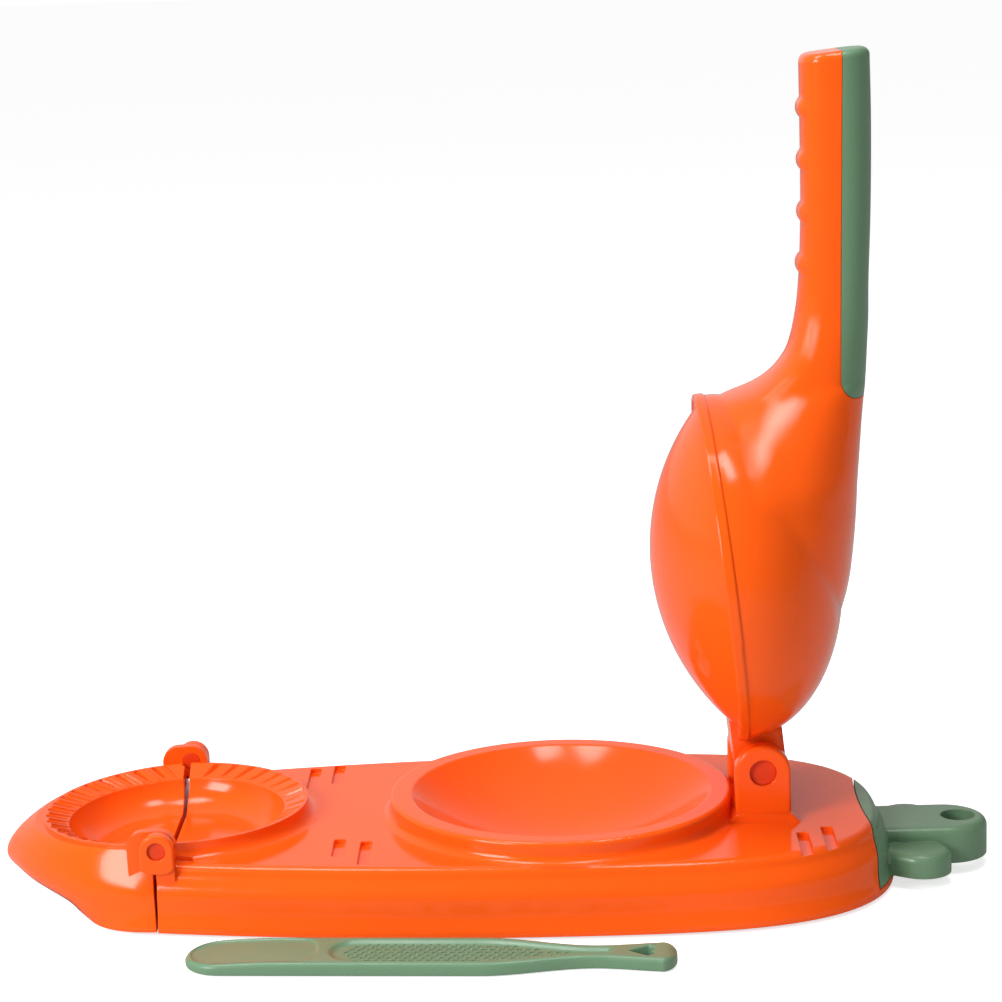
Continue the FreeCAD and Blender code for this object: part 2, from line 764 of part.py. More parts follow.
def leaf_tail():
    collar = base_block().common(leaf_room(-part_gap))
    lobe_end = leaf_tip_x - leaf_half_width
    middle = box(leaf_cut_x + leaf_root, lobe_end, -leaf_half_width, leaf_half_width,
                 leaf_bottom_z, leaf_top_z)
    middle = middle.fuse(post(leaf_half_width, leaf_bottom_z, leaf_top_z, lobe_end, 0)).removeSplitter()
    middle = middle.makeFillet(leaf_round, [e for e in middle.Edges if e.BoundBox.ZMin > leaf_top_z - tiny
                                            and e.BoundBox.XMax > lobe_end - over])
    side = box(-lobe_length, 0, -lobe_half_width, lobe_half_width, leaf_bottom_z, lobe_top_z)
    side = side.fuse(post(lobe_half_width, leaf_bottom_z, lobe_top_z, 0, 0)).removeSplitter()
    side = side.makeFillet(leaf_round, [e for e in side.Edges if e.BoundBox.ZMin > lobe_top_z - tiny
                                        and e.BoundBox.XMax > -over])
    side.rotate(vec(0, 0, 0), up, lobe_turn)
    side.translate(vec(lobe_x, lobe_y, 0))
    leaf = collar.fuse([middle, leaf_tongue(0)] + both_sides(side))
    return leaf.cut(post(hole_radius, 0, deck_z, hole_x, 0))


def smooth_step(t):
    t = max(0.0, min(1.0, t))
    return t * t * (3 - 2 * t)


def spoon_width(x):
    narrow = smooth_step((x - spoon_shoulder) / (spoon_neck - spoon_shoulder))
    flare = smooth_step((x - spoon_neck) / (spoon_length - spoon_neck))
    half = spoon_half_width + (spoon_neck_half_width - spoon_half_width) * narrow
    return half + (spoon_end_half_width - spoon_neck_half_width) * flare


# Plan of the spoon between two stations, with round ends, drawn in by inset
def spoon_plan(x0, x1, inset, z):
    tip = spoon_width(x0) - inset
    butt = spoon_width(x1) - inset
    bends = [(math.sin(math.radians(deg)), math.cos(math.radians(deg))) for deg in (60, 30)]
    front = [(x0 + tip * (1 - along), tip * across) for along, across in bends]
    start = x0 + tip
    end = x1 - spoon_butt * butt
    for i in range(spoon_steps + 1):
        x = start + (end - start) * i / spoon_steps
        front.append((x, spoon_width(x) - inset))
    front += [(x1 - spoon_butt * butt * (1 - along), butt * across) for along, across in reversed(bends)]
    points = [vec(x0, 0, z)] + [vec(x, -y, z) for x, y in front]
    points += [vec(x1, 0, z)] + [vec(x, y, z) for x, y in reversed(front)]
    return Part.Face(Part.Wire([spline(points, True)]))


def heart_hole():
    rise = spoon_thickness + 2 * over
    lobes = both_sides(post(heart_radius, -over, rise - over, heart_x, heart_spread))
    wide = heart_spread + heart_radius
    corners = [vec(heart_x, -wide, -over), vec(heart_x, wide, -over), vec(heart_x - heart_point, 0, -over)]
    return lobes[0].fuse([lobes[1], polygon_face(corners).extrude(vec(0, 0, rise))])


def filling_spoon():
    spoon = spoon_plan(0, spoon_length, 0, 0).extrude(vec(0, 0, spoon_thickness))
    spoon = spoon.makeFillet(spoon_edge_round, [e for e in spoon.Edges if e.BoundBox.ZLength < tiny])
    panel_z = spoon_thickness - spoon_panel_depth
    panel = spoon_plan(spoon_panel_start, spoon_neck - spoon_rim, spoon_rim, panel_z)
    pad = spoon_plan(spoon_rim, spoon_pad_length, spoon_rim, spoon_thickness - pad_depth)
    rise = vec(0, 0, spoon_thickness)
    spoon = spoon.cut([panel.extrude(rise), pad.extrude(rise), heart_hole()])
    spoon.rotate(vec(0, 0, 0), up, spoon_turn)
    spoon.translate(vec(spoon_x, spoon_y, 0))
    return spoon


def flap_pins():
    inner = ear_outer_y - ear_thickness - part_gap - flap_ear_thickness
    pin = crossbar(flap_pin_radius, inner, ear_outer_y - flap_pin_recess, mould_x, mould_axis_z)
    return both_sides(pin)


def press_pin():
    half = cheek_outer_y - pin_recess
    return crossbar(pin_radius, -half, half, pin_x, pin_z)


pieces = {
    "base_shell": base_shell(),
    "flap_shell": flap_shell(),
    "press_shell": press_shell(),
    "press_dome": press_dome(),
    "handle_cover": handle_cover(),
    "leaf_tail": leaf_tail(),
    "filling_spoon": filling_spoon(),
    "press_hinge_pin": press_pin(),
}
pieces["flap_pin_back"], pieces["flap_pin_front"] = flap_pins()
for name, (x, y) in foot_places.items():
    pieces[name] = post(foot_radius, 0, base_foot_z + foot_sunk, x, y)

for name, shape in pieces.items():
    solid = shape.Solids[0]
    print(name, shape.isValid(), len(shape.Solids), round(shape.Volume))
    solid.exportStep("parts/" + name + ".step")
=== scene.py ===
import math

import bpy
import numpy as np
from mathutils import Matrix, Vector
from mathutils.geometry import delaunay_2d_cdt


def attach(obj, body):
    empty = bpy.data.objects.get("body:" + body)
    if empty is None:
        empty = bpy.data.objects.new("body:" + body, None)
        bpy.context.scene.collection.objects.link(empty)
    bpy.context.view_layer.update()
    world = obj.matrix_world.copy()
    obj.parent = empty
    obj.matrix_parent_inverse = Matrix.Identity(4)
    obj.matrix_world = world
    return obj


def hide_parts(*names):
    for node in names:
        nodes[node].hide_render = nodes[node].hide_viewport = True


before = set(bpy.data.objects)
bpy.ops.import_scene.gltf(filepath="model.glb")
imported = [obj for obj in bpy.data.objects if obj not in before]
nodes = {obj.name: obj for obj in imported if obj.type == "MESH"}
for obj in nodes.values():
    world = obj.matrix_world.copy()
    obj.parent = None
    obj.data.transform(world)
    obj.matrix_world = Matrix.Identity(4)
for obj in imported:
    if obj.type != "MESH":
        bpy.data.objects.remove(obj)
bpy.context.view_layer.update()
print("frame loaded,", len(nodes), "nodes")

cameraLook = {
    "place": (-0.00656, -0.95918, 0.33648),
    "azimuth": -0.72,  # degrees, as are pitch and roll
    "pitch": 11.68,
    "roll": -1.69,
    "lens": 99.01,
    "sensor": 36.0,
    "near": 0.01,
    "far": 60.0,
}


def makeCamera(look):
    azimuth, pitch, roll = (math.radians(look[k]) for k in ("azimuth", "pitch", "roll"))
    level = math.cos(pitch)
    forward = Vector((math.sin(azimuth) * level, math.cos(azimuth) * level, -math.sin(pitch)))
    right = Vector((math.cos(azimuth), -math.sin(azimuth), 0))
    up = right.cross(forward)
    across = right * math.cos(roll) + up * math.sin(roll)
    upright = up * math.cos(roll) - right * math.sin(roll)
    data = bpy.data.cameras.new("tableCamera")
    data.lens = look["lens"]
    data.sensor_width = look["sensor"]
    data.sensor_fit = "HORIZONTAL"
    data.clip_start = look["near"]
    data.clip_end = look["far"]
    camera = bpy.data.objects.new("tableCamera", data)
    turn = Matrix((across, upright, -forward)).transposed().to_4x4()
    camera.matrix_world = Matrix.Translation(look["place"]) @ turn
    bpy.context.scene.collection.objects.link(camera)
    bpy.context.scene.camera = camera


makeCamera(cameraLook)
bpy.context.scene.view_settings.view_transform = "Standard"
print("camera placed")


# small helpers for node trees
def addNode(tree, kind, place=(0, 0), **settings):
    node = tree.nodes.new(kind)
    node.location = place
    for key, value in settings.items():
        setattr(node, key, value)
    return node


# a plain number, or what another socket gives, goes into a socket
def wire(tree, item, toSocket):
    if isinstance(item, (int, float)):
        toSocket.default_value = item
    else:
        tree.links.new(item, toSocket)


skinLook = {
    "flow": (16.0, 3.0),  # scale and detail of each noise
    "bloom": (90.0, 4.0),
    "peel": (420.0, 1.0),
    "bloomRange": (0.3, 0.7),
    "peelHeight": 0.0002,
    "edgeSamples": 4,
}


# the skin that moulded plastic has: slow clouding of the colour, a finer bloom, orange-peel height
def mouldedSkinGroup(look):
    tree = bpy.data.node_groups.new("mouldedSkin", "ShaderNodeTree")
    face = tree.interface
    for name, kind in (
        ("Colour", "NodeSocketColor"),
        ("Deep Colour", "NodeSocketColor"),
        ("Clouding", "NodeSocketFloat"),
        ("Gloss Low", "NodeSocketFloat"),
        ("Gloss High", "NodeSocketFloat"),
    ):
        face.new_socket(name, in_out="INPUT", socket_type=kind)
    face.new_socket("Colour", in_out="OUTPUT", socket_type="NodeSocketColor")
    face.new_socket("Roughness", in_out="OUTPUT", socket_type="NodeSocketFloat")
    face.new_socket("Height", in_out="OUTPUT", socket_type="NodeSocketFloat")
    entry = addNode(tree, "NodeGroupInput", (-700, 0))
    leave = addNode(tree, "NodeGroupOutput", (600, 0))
    where = addNode(tree, "ShaderNodeTexCoord", (-900, -300))

    def noise(name, height):
        node = addNode(tree, "ShaderNodeTexNoise", (-500, height))
        scale, detail = look[name]
        node.inputs["Scale"].default_value = scale
        node.inputs["Detail"].default_value = detail
        wire(tree, where.outputs["Object"], node.inputs["Vector"])
        return node.outputs["Fac"]

    amount = addNode(tree, "ShaderNodeMath", (-250, 100), operation="MULTIPLY")
    wire(tree, noise("flow", 100), amount.inputs[0])
    wire(tree, entry.outputs["Clouding"], amount.inputs[1])
    tint = addNode(tree, "ShaderNodeMix", (0, 100), data_type="RGBA")
    wire(tree, amount.outputs[0], tint.inputs["Factor"])
    wire(tree, entry.outputs["Colour"], tint.inputs["A"])
    wire(tree, entry.outputs["Deep Colour"], tint.inputs["B"])
    wire(tree, tint.outputs["Result"], leave.inputs["Colour"])
    gloss = addNode(tree, "ShaderNodeMapRange", (0, -150))
    wire(tree, noise("bloom", -150), gloss.inputs["Value"])
    gloss.inputs["From Min"].default_value = look["bloomRange"][0]
    gloss.inputs["From Max"].default_value = look["bloomRange"][1]
    wire(tree, entry.outputs["Gloss Low"], gloss.inputs["To Min"])
    wire(tree, entry.outputs["Gloss High"], gloss.inputs["To Max"])
    wire(tree, gloss.outputs["Result"], leave.inputs["Roughness"])
    wire(tree, noise("peel", -400), leave.inputs["Height"])
    return tree


mouldedSkin = mouldedSkinGroup(skinLook)


# how far edges are rounded: more on the press's hood and grip, between its rim and its cover
def hoodSoftness(tree, hood, edge):
    lean = math.radians(hood["openAngle"])
    where = addNode(tree, "ShaderNodeTexCoord", (-1500, -500))
    depth = addNode(tree, "ShaderNodeVectorMath", (-1300, -500), operation="DOT_PRODUCT")
    wire(tree, where.outputs["Object"], depth.inputs[0])
    depth.inputs[1].default_value = (math.sin(lean), 0, math.cos(lean))
    level = edge
    for start, end, size in hood["ramps"]:
        ramp = addNode(tree, "ShaderNodeMapRange", (-1100, -500), interpolation_type="SMOOTHSTEP")
        wire(tree, depth.outputs["Value"], ramp.inputs["Value"])
        wire(tree, start, ramp.inputs["From Min"])
        wire(tree, end, ramp.inputs["From Max"])
        wire(tree, level, ramp.inputs["To Min"])
        wire(tree, size, ramp.inputs["To Max"])
        level = ramp.outputs["Result"]
    return level


def plastic(name, look):
    material = bpy.data.materials.new(name)
    material.use_nodes = True
    tree = material.node_tree
    shader = tree.nodes["Principled BSDF"]
    shader.inputs["IOR"].default_value = look["ior"]
    skin = addNode(tree, "ShaderNodeGroup", (-600, 0))
    skin.node_tree = mouldedSkin
    skin.inputs["Colour"].default_value = look["colour"]
    skin.inputs["Deep Colour"].default_value = look["deep"]
    skin.inputs["Clouding"].default_value = look["clouding"]
    skin.inputs["Gloss Low"].default_value = look["gloss"][0]
    skin.inputs["Gloss High"].default_value = look["gloss"][1]
    wire(tree, skin.outputs["Colour"], shader.inputs["Base Color"])
    wire(tree, skin.outputs["Roughness"], shader.inputs["Roughness"])
    bump = addNode(tree, "ShaderNodeBump", (-300, -300))
    bump.inputs["Strength"].default_value = look["peel"]
    bump.inputs["Distance"].default_value = skinLook["peelHeight"]
    soft = addNode(tree, "ShaderNodeBevel", (-550, -350), samples=skinLook["edgeSamples"])
    soft.inputs["Radius"].default_value = look["edge"]
    if "hood" in look:
        wire(tree, hoodSoftness(tree, look["hood"], look["edge"]), soft.inputs["Radius"])
    wire(tree, soft.outputs["Normal"], bump.inputs["Normal"])
    wire(tree, skin.outputs["Height"], bump.inputs["Height"])
    wire(tree, bump.outputs["Normal"], shader.inputs["Normal"])
    return material


orangeLook = {
    "colour": (1.0, 0.118, 0.008, 1),
    "deep": (0.9, 0.085, 0.004, 1),
    "clouding": 0.7,
    "gloss": (0.11, 0.17),
    "peel": 0.05,
    "edge": 0.0007,
    "ior": 1.37,
}
# the press's own orange: the crease where its hood meets the round shell is softened
pressLook = dict(orangeLook, hood={
    "openAngle": 83.8,
    "ramps": [(0.0755, 0.084, 0.006), (0.114, 0.121, 0.0007)],  # depth from, depth to, rounding
})
# the hinge pins are a little duller than what they hold, and their darker, redder orange is painted
# shade for the pin ends sitting recessed in the lugs
pinLook = {
    "colour": (0.78, 0.055, 0.004, 1),
    "deep": (0.6, 0.03, 0.002, 1),
    "clouding": 0.7,
    "gloss": (0.34, 0.5),
    "peel": 0.3,
    "edge": 0.0007,
    "ior": 1.37,
}
greenLook = {
    "colour": (0.15, 0.272, 0.158, 1),
    "deep": (0.12, 0.235, 0.13, 1),
    "clouding": 0.7,
    "gloss": (0.28, 0.36),
    "peel": 0.06,
    "edge": 0.0006,
    "ior": 1.49,
}
rubberLook = {
    "colour": (0.85, 0.85, 0.83, 1),
    "deep": (0.72, 0.72, 0.7, 1),
    "clouding": 0.8,
    "gloss": (0.7, 0.85),
    "peel": 0.2,
    "edge": 0.0004,
    "ior": 1.45,
}
orangePlastic = plastic("orangePlastic", orangeLook)
greenPlastic = plastic("greenPlastic", greenLook)
footRubber = plastic("footRubber", rubberLook)
pressPlastic = plastic("pressPlastic", pressLook)
pinPlastic = plastic("pinPlastic", pinLook)

nodeFinish = {
    "press_shell": pressPlastic,
    "press_hinge_pin": pinPlastic,
    "flap_pin_front": pinPlastic,
    "flap_pin_back": pinPlastic,
    "handle_cover": greenPlastic,
    "leaf_tail": greenPlastic,
    "filling_spoon": greenPlastic,
}
for name, node in nodes.items():
    finish = footRubber if name.startswith("foot_") else nodeFinish.get(name, orangePlastic)
    node.data.materials.clear()
    node.data.materials.append(finish)
print("materials given to the nodes")

mm = 0.001

# millimetres, along the spoon from its tip
spoonLook = {
    "length": 165.0,
    "halfWidth": 12.6,
    "neckHalf": 5.6,
    "endHalf": 8.6,
    "leastHalf": 0.5,
    "thickness": 4.6,
    "shoulder": 100.0,
    "neck": 138.0,
    "butt": 0.6,  # how far the end's rounding reaches, as a share of its half width
    "bendStep": 6,  # degrees
    "sideStep": 1.5,
    "edgeRound": 1.6,
    "edgeRings": (0, 0.1, 0.3, 0.6, 1.0, 1.6, 2.2),
    "underRound": 0.9,
    "tipThin": 1.1,  # how much the blade thins towards its tip
    "tipReach": 32.0,
    "padEnd": 45.0,
    "padInset": 1.6,
    "padDepth": 0.5,
    "padSlope": 0.8,
    "padRings": (0, 0.25, 0.55, 0.8),
    "panelStart": 48.0,
    "panelEnd": 144.0,
    "panelInset": 2.4,
    "panelDepth": 1.3,
    "panelSlope": 2.4,
    "panelRings": (0, 0.2, 0.4, 0.6, 0.8, 1.0),  # shares of the slope
    "heartX": 155.0,
    "heartRadius": 2.4,
    "heartSpread": 2.05,
    "heartPoint": 6.2,
    "heartRound": 0.7,
    "heartRings": (0, 0.15, 0.4, 0.75),
    "heartSteps": 14,
    "pointGrow": 1.7,  # how fast the heart's point moves out as the heart grows
    "gridStep": (3.0, 2.6),
    "gridRows": 4,  # on each side of the middle
    "weld": 0.0001,
    "sharpAngle": 50,
    "place": (-128.0, -84.0),
    "turn": -4.0,
}


def smoothStep(t):
    t = np.clip(t, 0, 1)
    return t * t * (3 - 2 * t)


def spoonHalf(x):
    look = spoonLook
    narrow = smoothStep((x - look["shoulder"]) / (look["neck"] - look["shoulder"]))
    flare = smoothStep((x - look["neck"]) / (look["length"] - look["neck"]))
    half = look["halfWidth"] + (look["neckHalf"] - look["halfWidth"]) * narrow
    return half + (look["endHalf"] - look["neckHalf"]) * flare


# closed plan line between two stations, round at the start and blunter at the end
def spoonLine(x0, x1, inset):
    look = spoonLook
    tip = max(spoonHalf(x0) - inset, look["leastHalf"])
    butt = max(spoonHalf(x1) - inset, look["leastHalf"])
    reach = look["butt"] * butt
    bends = [math.radians(a) for a in range(look["bendStep"], 90, look["bendStep"])]
    side = [(x0 + tip * (1 - math.cos(a)), tip * math.sin(a)) for a in bends]
    count = max(2, int((x1 - x0 - tip - reach) / look["sideStep"]))
    for i in range(count + 1):
        x = x0 + tip + (x1 - reach - x0 - tip) * i / count
        side.append((x, spoonHalf(x) - inset))
    side += [(x1 - reach * (1 - math.cos(a)), butt * math.sin(a)) for a in reversed(bends)]
    line = [(x0, 0.0)] + [(x, -y) for x, y in side]
    return line + [(x1, 0.0)] + [(x, y) for x, y in reversed(side)]


def heartLine(grow):
    look = spoonLook
    radius = look["heartRadius"] + grow
    x, spread = look["heartX"], look["heartSpread"]
    start = math.pi / 2
    low = math.asin(-spread / radius)
    steps = look["heartSteps"]
    arcs = [start + (low - start) * i / steps for i in range(steps + 1)]
    half = [(x + radius * math.cos(a), spread + radius * math.sin(a)) for a in arcs]
    point = (x - look["heartPoint"] - look["pointGrow"] * grow, 0.0)
    mirrored = [(px, -py) for px, py in reversed(half[:-1])]
    return [point] + half[:-1] + [(half[-1][0], 0.0)] + mirrored


def lineDistance(points, line):
    a = np.array(line)
    b = np.roll(a, -1, axis=0)
    best = np.full(len(points), np.inf)
    for start, along in zip(a, b - a):
        t = np.clip(((points - start) @ along) / max(along @ along, 1e-12), 0, 1)
        best = np.minimum(best, np.linalg.norm(points - start - t[:, None] * along, axis=1))
    return best


def insideLine(points, line):
    a = np.array(line)
    b = np.roll(a, -1, axis=0)
    inside = np.zeros(len(points), bool)
    for (ax, ay), (bx, by) in zip(a, b):
        if ay == by:
            continue
        spans = (ay > points[:, 1]) != (by > points[:, 1])
        inside ^= spans & (points[:, 0] < (bx - ax) * (points[:, 1] - ay) / (by - ay) + ax)
    return inside


def signedDepth(points, line):
    depth = lineDistance(points, line)
    return np.where(insideLine(points, line), depth, -depth)


# how far a rounded edge falls away at a distance from it
def edgeFall(distance, radius):
    gone = np.clip(radius - distance, 0, radius)
    return radius - np.sqrt(np.maximum(radius ** 2 - gone ** 2, 0))


# the panel's and the pad's plan lines, drawn in by an inset
def panelLine(inset):
    look = spoonLook
    start, end = look["panelStart"] + inset, look["panelEnd"] - inset
    return spoonLine(start, end, look["panelInset"] + inset)


def padLine(inset):
    look = spoonLook
    start, end = look["padInset"] + inset, look["padEnd"] - inset
    return spoonLine(start, end, look["padInset"] + inset)


def spoonTop(points):
    look = spoonLook
    edge = lineDistance(points, spoonLine(0, look["length"], 0))
    hole = lineDistance(points, heartLine(0))
    top = look["thickness"] - edgeFall(edge, look["edgeRound"])
    top -= edgeFall(hole, look["heartRound"])
    top -= look["panelDepth"] * smoothStep(signedDepth(points, panelLine(0)) / look["panelSlope"])
    top -= look["padDepth"] * smoothStep(signedDepth(points, padLine(0)) / look["padSlope"])
    top -= look["tipThin"] * smoothStep((look["tipReach"] - points[:, 0]) / look["tipReach"])
    return top


# the plan's points and triangles, with rings of points along every slope
def spoonPlan(look):
    loops = [spoonLine(0, look["length"], inset) for inset in look["edgeRings"]]
    loops += [heartLine(grow) for grow in look["heartRings"]]
    loops += [panelLine(look["panelSlope"] * share) for share in look["panelRings"]]
    loops += [padLine(inset) for inset in look["padRings"]]
    coords, edges = [], []
    for loop in loops:
        first = len(coords)
        coords += [Vector(p) for p in loop]
        edges += [(first + i, first + (i + 1) % len(loop)) for i in range(len(loop))]
    stepX, stepY = look["gridStep"]
    for i in range(int(look["length"] / stepX)):
        for j in range(-look["gridRows"], look["gridRows"] + 1):
            coords.append(Vector((stepX * i + stepX / 2 * (j % 2), stepY * j)))
    flat, _, triangles, *_ = delaunay_2d_cdt(coords, edges, [], 0, look["weld"])
    points = np.array([tuple(p) for p in flat])
    middles = np.array([points[list(t)].mean(axis=0) for t in triangles])
    keep = insideLine(middles, loops[0]) & ~insideLine(middles, heartLine(0))
    triangles = [t for t, kept in zip(triangles, keep) if kept]
    used = sorted({i for t in triangles for i in t})
    renumber = {old: new for new, old in enumerate(used)}
    return points[used], [tuple(renumber[i] for i in t) for t in triangles]


def makeSpoon(look):
    points, triangles = spoonPlan(look)
    outer = lineDistance(points, spoonLine(0, look["length"], 0))
    edge = np.minimum(outer, lineDistance(points, heartLine(0)))
    bottom = edgeFall(edge, look["underRound"])
    count = len(points)
    turn = math.radians(look["turn"])
    along = points[:, 0] * math.cos(turn) - points[:, 1] * math.sin(turn) + look["place"][0]
    across = points[:, 0] * math.sin(turn) + points[:, 1] * math.cos(turn) + look["place"][1]
    verts = []
    for heights in (spoonTop(points), bottom):
        verts += [(x * mm, y * mm, z * mm) for x, y, z in zip(along, across, heights)]
    # a side that only one triangle has is at the border and gets a wall
    sides = [pair for a, b, c in triangles for pair in ((a, b), (b, c), (c, a))]
    known = set(sides)
    walls = [(b, a, a + count, b + count) for a, b in sides if (b, a) not in known]
    under = [(c + count, b + count, a + count) for a, b, c in triangles]
    mesh = bpy.data.meshes.new("spoonBody")
    mesh.from_pydata(verts, [], triangles + under + walls)
    mesh.validate()
    mesh.shade_smooth()
    mesh.set_sharp_from_angle(angle=math.radians(look["sharpAngle"]))
    return mesh


scaleLook = {
    "pitch": 2.9,  # along the spoon
    "across": 2.5,
    "radius": 1.35,
    "wire": 0.26,
    "firstX": 55.0,
    "lastX": 129.0,
    "margin": 5.0,  # from the spoon's edge
    "height": 3.32,
    "rows": 13,
    "roomAhead": 4,  # how much earlier than the spoon the relief narrows
    "arcStart": 78,  # degrees
    "arcSweep": 204,
    "arcPoints": 9,
    "wireSides": 6,
}
# the relief's inputs and the settings they take
scaleInputs = {
    "Pitch": "pitch",
    "Across": "across",
    "Radius": "radius",
    "Wire": "wire",
    "First X": "firstX",
    "Last X": "lastX",
    "Margin": "margin",
    "Height": "height",
}


# rows of small raised crescents, every second row set off by half a step
def scaleTree(look):
    tree = bpy.data.node_groups.new("scaleRelief", "GeometryNodeTree")
    face = tree.interface
    face.new_socket("Geometry", in_out="OUTPUT", socket_type="NodeSocketGeometry")
    ids = {}
    for name in scaleInputs:
        socket = face.new_socket(name, in_out="INPUT", socket_type="NodeSocketFloat")
        ids[name] = socket.identifier
    socket = face.new_socket("Finish", in_out="INPUT", socket_type="NodeSocketMaterial")
    ids["Finish"] = socket.identifier
    entry = addNode(tree, "NodeGroupInput", (-1600, 0)).outputs
    leave = addNode(tree, "NodeGroupOutput", (1400, 0))

    def value(operation, a, b=None):
        place = (120 * len(tree.nodes) - 1600, -600)
        node = addNode(tree, "ShaderNodeMath", place, operation=operation)
        for socket, item in zip(node.inputs, (a, b)):
            if item is not None:
                wire(tree, item, socket)
        return node.outputs[0]

    length = value("SUBTRACT", entry["Last X"], entry["First X"])
    columns = value("FLOOR", value("DIVIDE", length, entry["Pitch"]))
    grid = addNode(tree, "GeometryNodeMeshGrid", (-900, 200))
    wire(tree, length, grid.inputs["Size X"])
    wire(tree, value("MULTIPLY", entry["Across"], look["rows"] - 1), grid.inputs["Size Y"])
    wire(tree, value("ADD", columns, 1), grid.inputs["Vertices X"])
    grid.inputs["Vertices Y"].default_value = look["rows"]
    spot = addNode(tree, "GeometryNodeInputPosition", (-1100, -200))
    apart = addNode(tree, "ShaderNodeSeparateXYZ", (-950, -200))
    wire(tree, spot.outputs[0], apart.inputs[0])
    pointX, pointY = apart.outputs["X"], apart.outputs["Y"]
    # odd rows move on by half a step
    rowNumber = value("ROUND", value("DIVIDE", pointY, entry["Across"]))
    odd = value("PINGPONG", rowNumber, 1)
    halfStep = value("MULTIPLY", entry["Pitch"], 0.5)
    middle = value("MULTIPLY", value("ADD", entry["First X"], entry["Last X"]), 0.5)
    shift = addNode(tree, "ShaderNodeCombineXYZ", (-300, -300))
    wire(tree, value("ADD", value("MULTIPLY", odd, halfStep), middle), shift.inputs["X"])
    wire(tree, entry["Height"], shift.inputs["Z"])
    placed = addNode(tree, "GeometryNodeSetPosition", (-200, 100))
    wire(tree, grid.outputs["Mesh"], placed.inputs["Geometry"])
    wire(tree, shift.outputs[0], placed.inputs["Offset"])
    # only inside the panel's outline, which is round at its start
    room = addNode(tree, "ShaderNodeMapRange", (100, -500), interpolation_type="SMOOTHSTEP")
    wire(tree, pointX, room.inputs["Value"])
    room.inputs["From Min"].default_value = spoonLook["shoulder"] - look["roomAhead"]
    room.inputs["From Max"].default_value = spoonLook["neck"] - look["roomAhead"]
    room.inputs["To Min"].default_value = spoonLook["halfWidth"]
    room.inputs["To Max"].default_value = spoonLook["neckHalf"]
    half = value("SUBTRACT", room.outputs["Result"], entry["Margin"])
    tooWide = value("GREATER_THAN", value("ABSOLUTE", pointY), half)
    tip = value("SUBTRACT", spoonLook["halfWidth"], entry["Margin"])
    fromStart = value("SUBTRACT", pointX, entry["First X"])
    fromTip = value("MINIMUM", value("SUBTRACT", fromStart, tip), 0)
    spread = value("SQRT", value("ADD", value("POWER", fromTip, 2), value("POWER", pointY, 2)))
    outside = value("MAXIMUM", tooWide, value("GREATER_THAN", spread, tip))
    kept = addNode(tree, "GeometryNodeDeleteGeometry", (300, 100), domain="POINT")
    wire(tree, placed.outputs[0], kept.inputs["Geometry"])
    wire(tree, outside, kept.inputs["Selection"])
    # the crescent
    bend = addNode(tree, "GeometryNodeCurveArc", (100, 500))
    bend.inputs["Resolution"].default_value = look["arcPoints"]
    bend.inputs["Start Angle"].default_value = math.radians(look["arcStart"])
    bend.inputs["Sweep Angle"].default_value = math.radians(look["arcSweep"])
    wire(tree, entry["Radius"], bend.inputs["Radius"])
    thread = addNode(tree, "GeometryNodeCurvePrimitiveCircle", (100, 350))
    thread.inputs["Resolution"].default_value = look["wireSides"]
    wire(tree, entry["Wire"], thread.inputs["Radius"])
    crescent = addNode(tree, "GeometryNodeCurveToMesh", (350, 450))
    wire(tree, bend.outputs["Curve"], crescent.inputs["Curve"])
    wire(tree, thread.outputs["Curve"], crescent.inputs["Profile Curve"])
    crescent.inputs["Fill Caps"].default_value = True
    put = addNode(tree, "GeometryNodeInstanceOnPoints", (600, 200))
    wire(tree, kept.outputs[0], put.inputs["Points"])
    wire(tree, crescent.outputs[0], put.inputs["Instance"])
    real = addNode(tree, "GeometryNodeRealizeInstances", (800, 200))
    wire(tree, put.outputs[0], real.inputs[0])
    smooth = addNode(tree, "GeometryNodeSetShadeSmooth", (950, 200))
    wire(tree, real.outputs[0], smooth.inputs["Geometry"])
    finish = addNode(tree, "GeometryNodeSetMaterial", (1100, 200))
    wire(tree, smooth.outputs[0], finish.inputs["Geometry"])
    wire(tree, entry["Finish"], finish.inputs["Material"])
    wire(tree, finish.outputs[0], leave.inputs["Geometry"])
    return tree, ids


def makeScales(look, finish):
    tree, ids = scaleTree(look)
    base = bpy.data.meshes.new("scaleBase")
    carrier = bpy.data.objects.new("scaleCarrier", base)
    bpy.context.scene.collection.objects.link(carrier)
    grower = carrier.modifiers.new("scaleRelief", "NODES")
    grower.node_group = tree
    for name, key in scaleInputs.items():
        grower[ids[name]] = look[key]
    grower[ids["Finish"]] = finish
    graph = bpy.context.evaluated_depsgraph_get()
    mesh = bpy.data.meshes.new_from_object(carrier.evaluated_get(graph))
    bpy.data.objects.remove(carrier)
    mesh.name = "spoonScales"
    turn = Matrix.Rotation(math.radians(spoonLook["turn"]), 4, "Z")
    shift = Matrix.Translation((spoonLook["place"][0] * mm, spoonLook["place"][1] * mm, 0))
    mesh.transform(shift @ turn @ Matrix.Scale(mm, 4))
    return mesh


def addPiece(name, mesh, finish, body, slot, *stoodFor):
    mesh.materials.clear()
    mesh.materials.append(finish)
    piece = bpy.data.objects.new(name, mesh)
    bpy.context.scene.collection.objects.link(piece)
    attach(piece, body)
    if stoodFor:
        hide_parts(*stoodFor)


addPiece("spoonBody", makeSpoon(spoonLook), greenPlastic, "spoon", "green_plastic", "filling_spoon")
addPiece("spoonScales", makeScales(scaleLook, greenPlastic), greenPlastic, "spoon", "green_plastic")
print("spoon made")

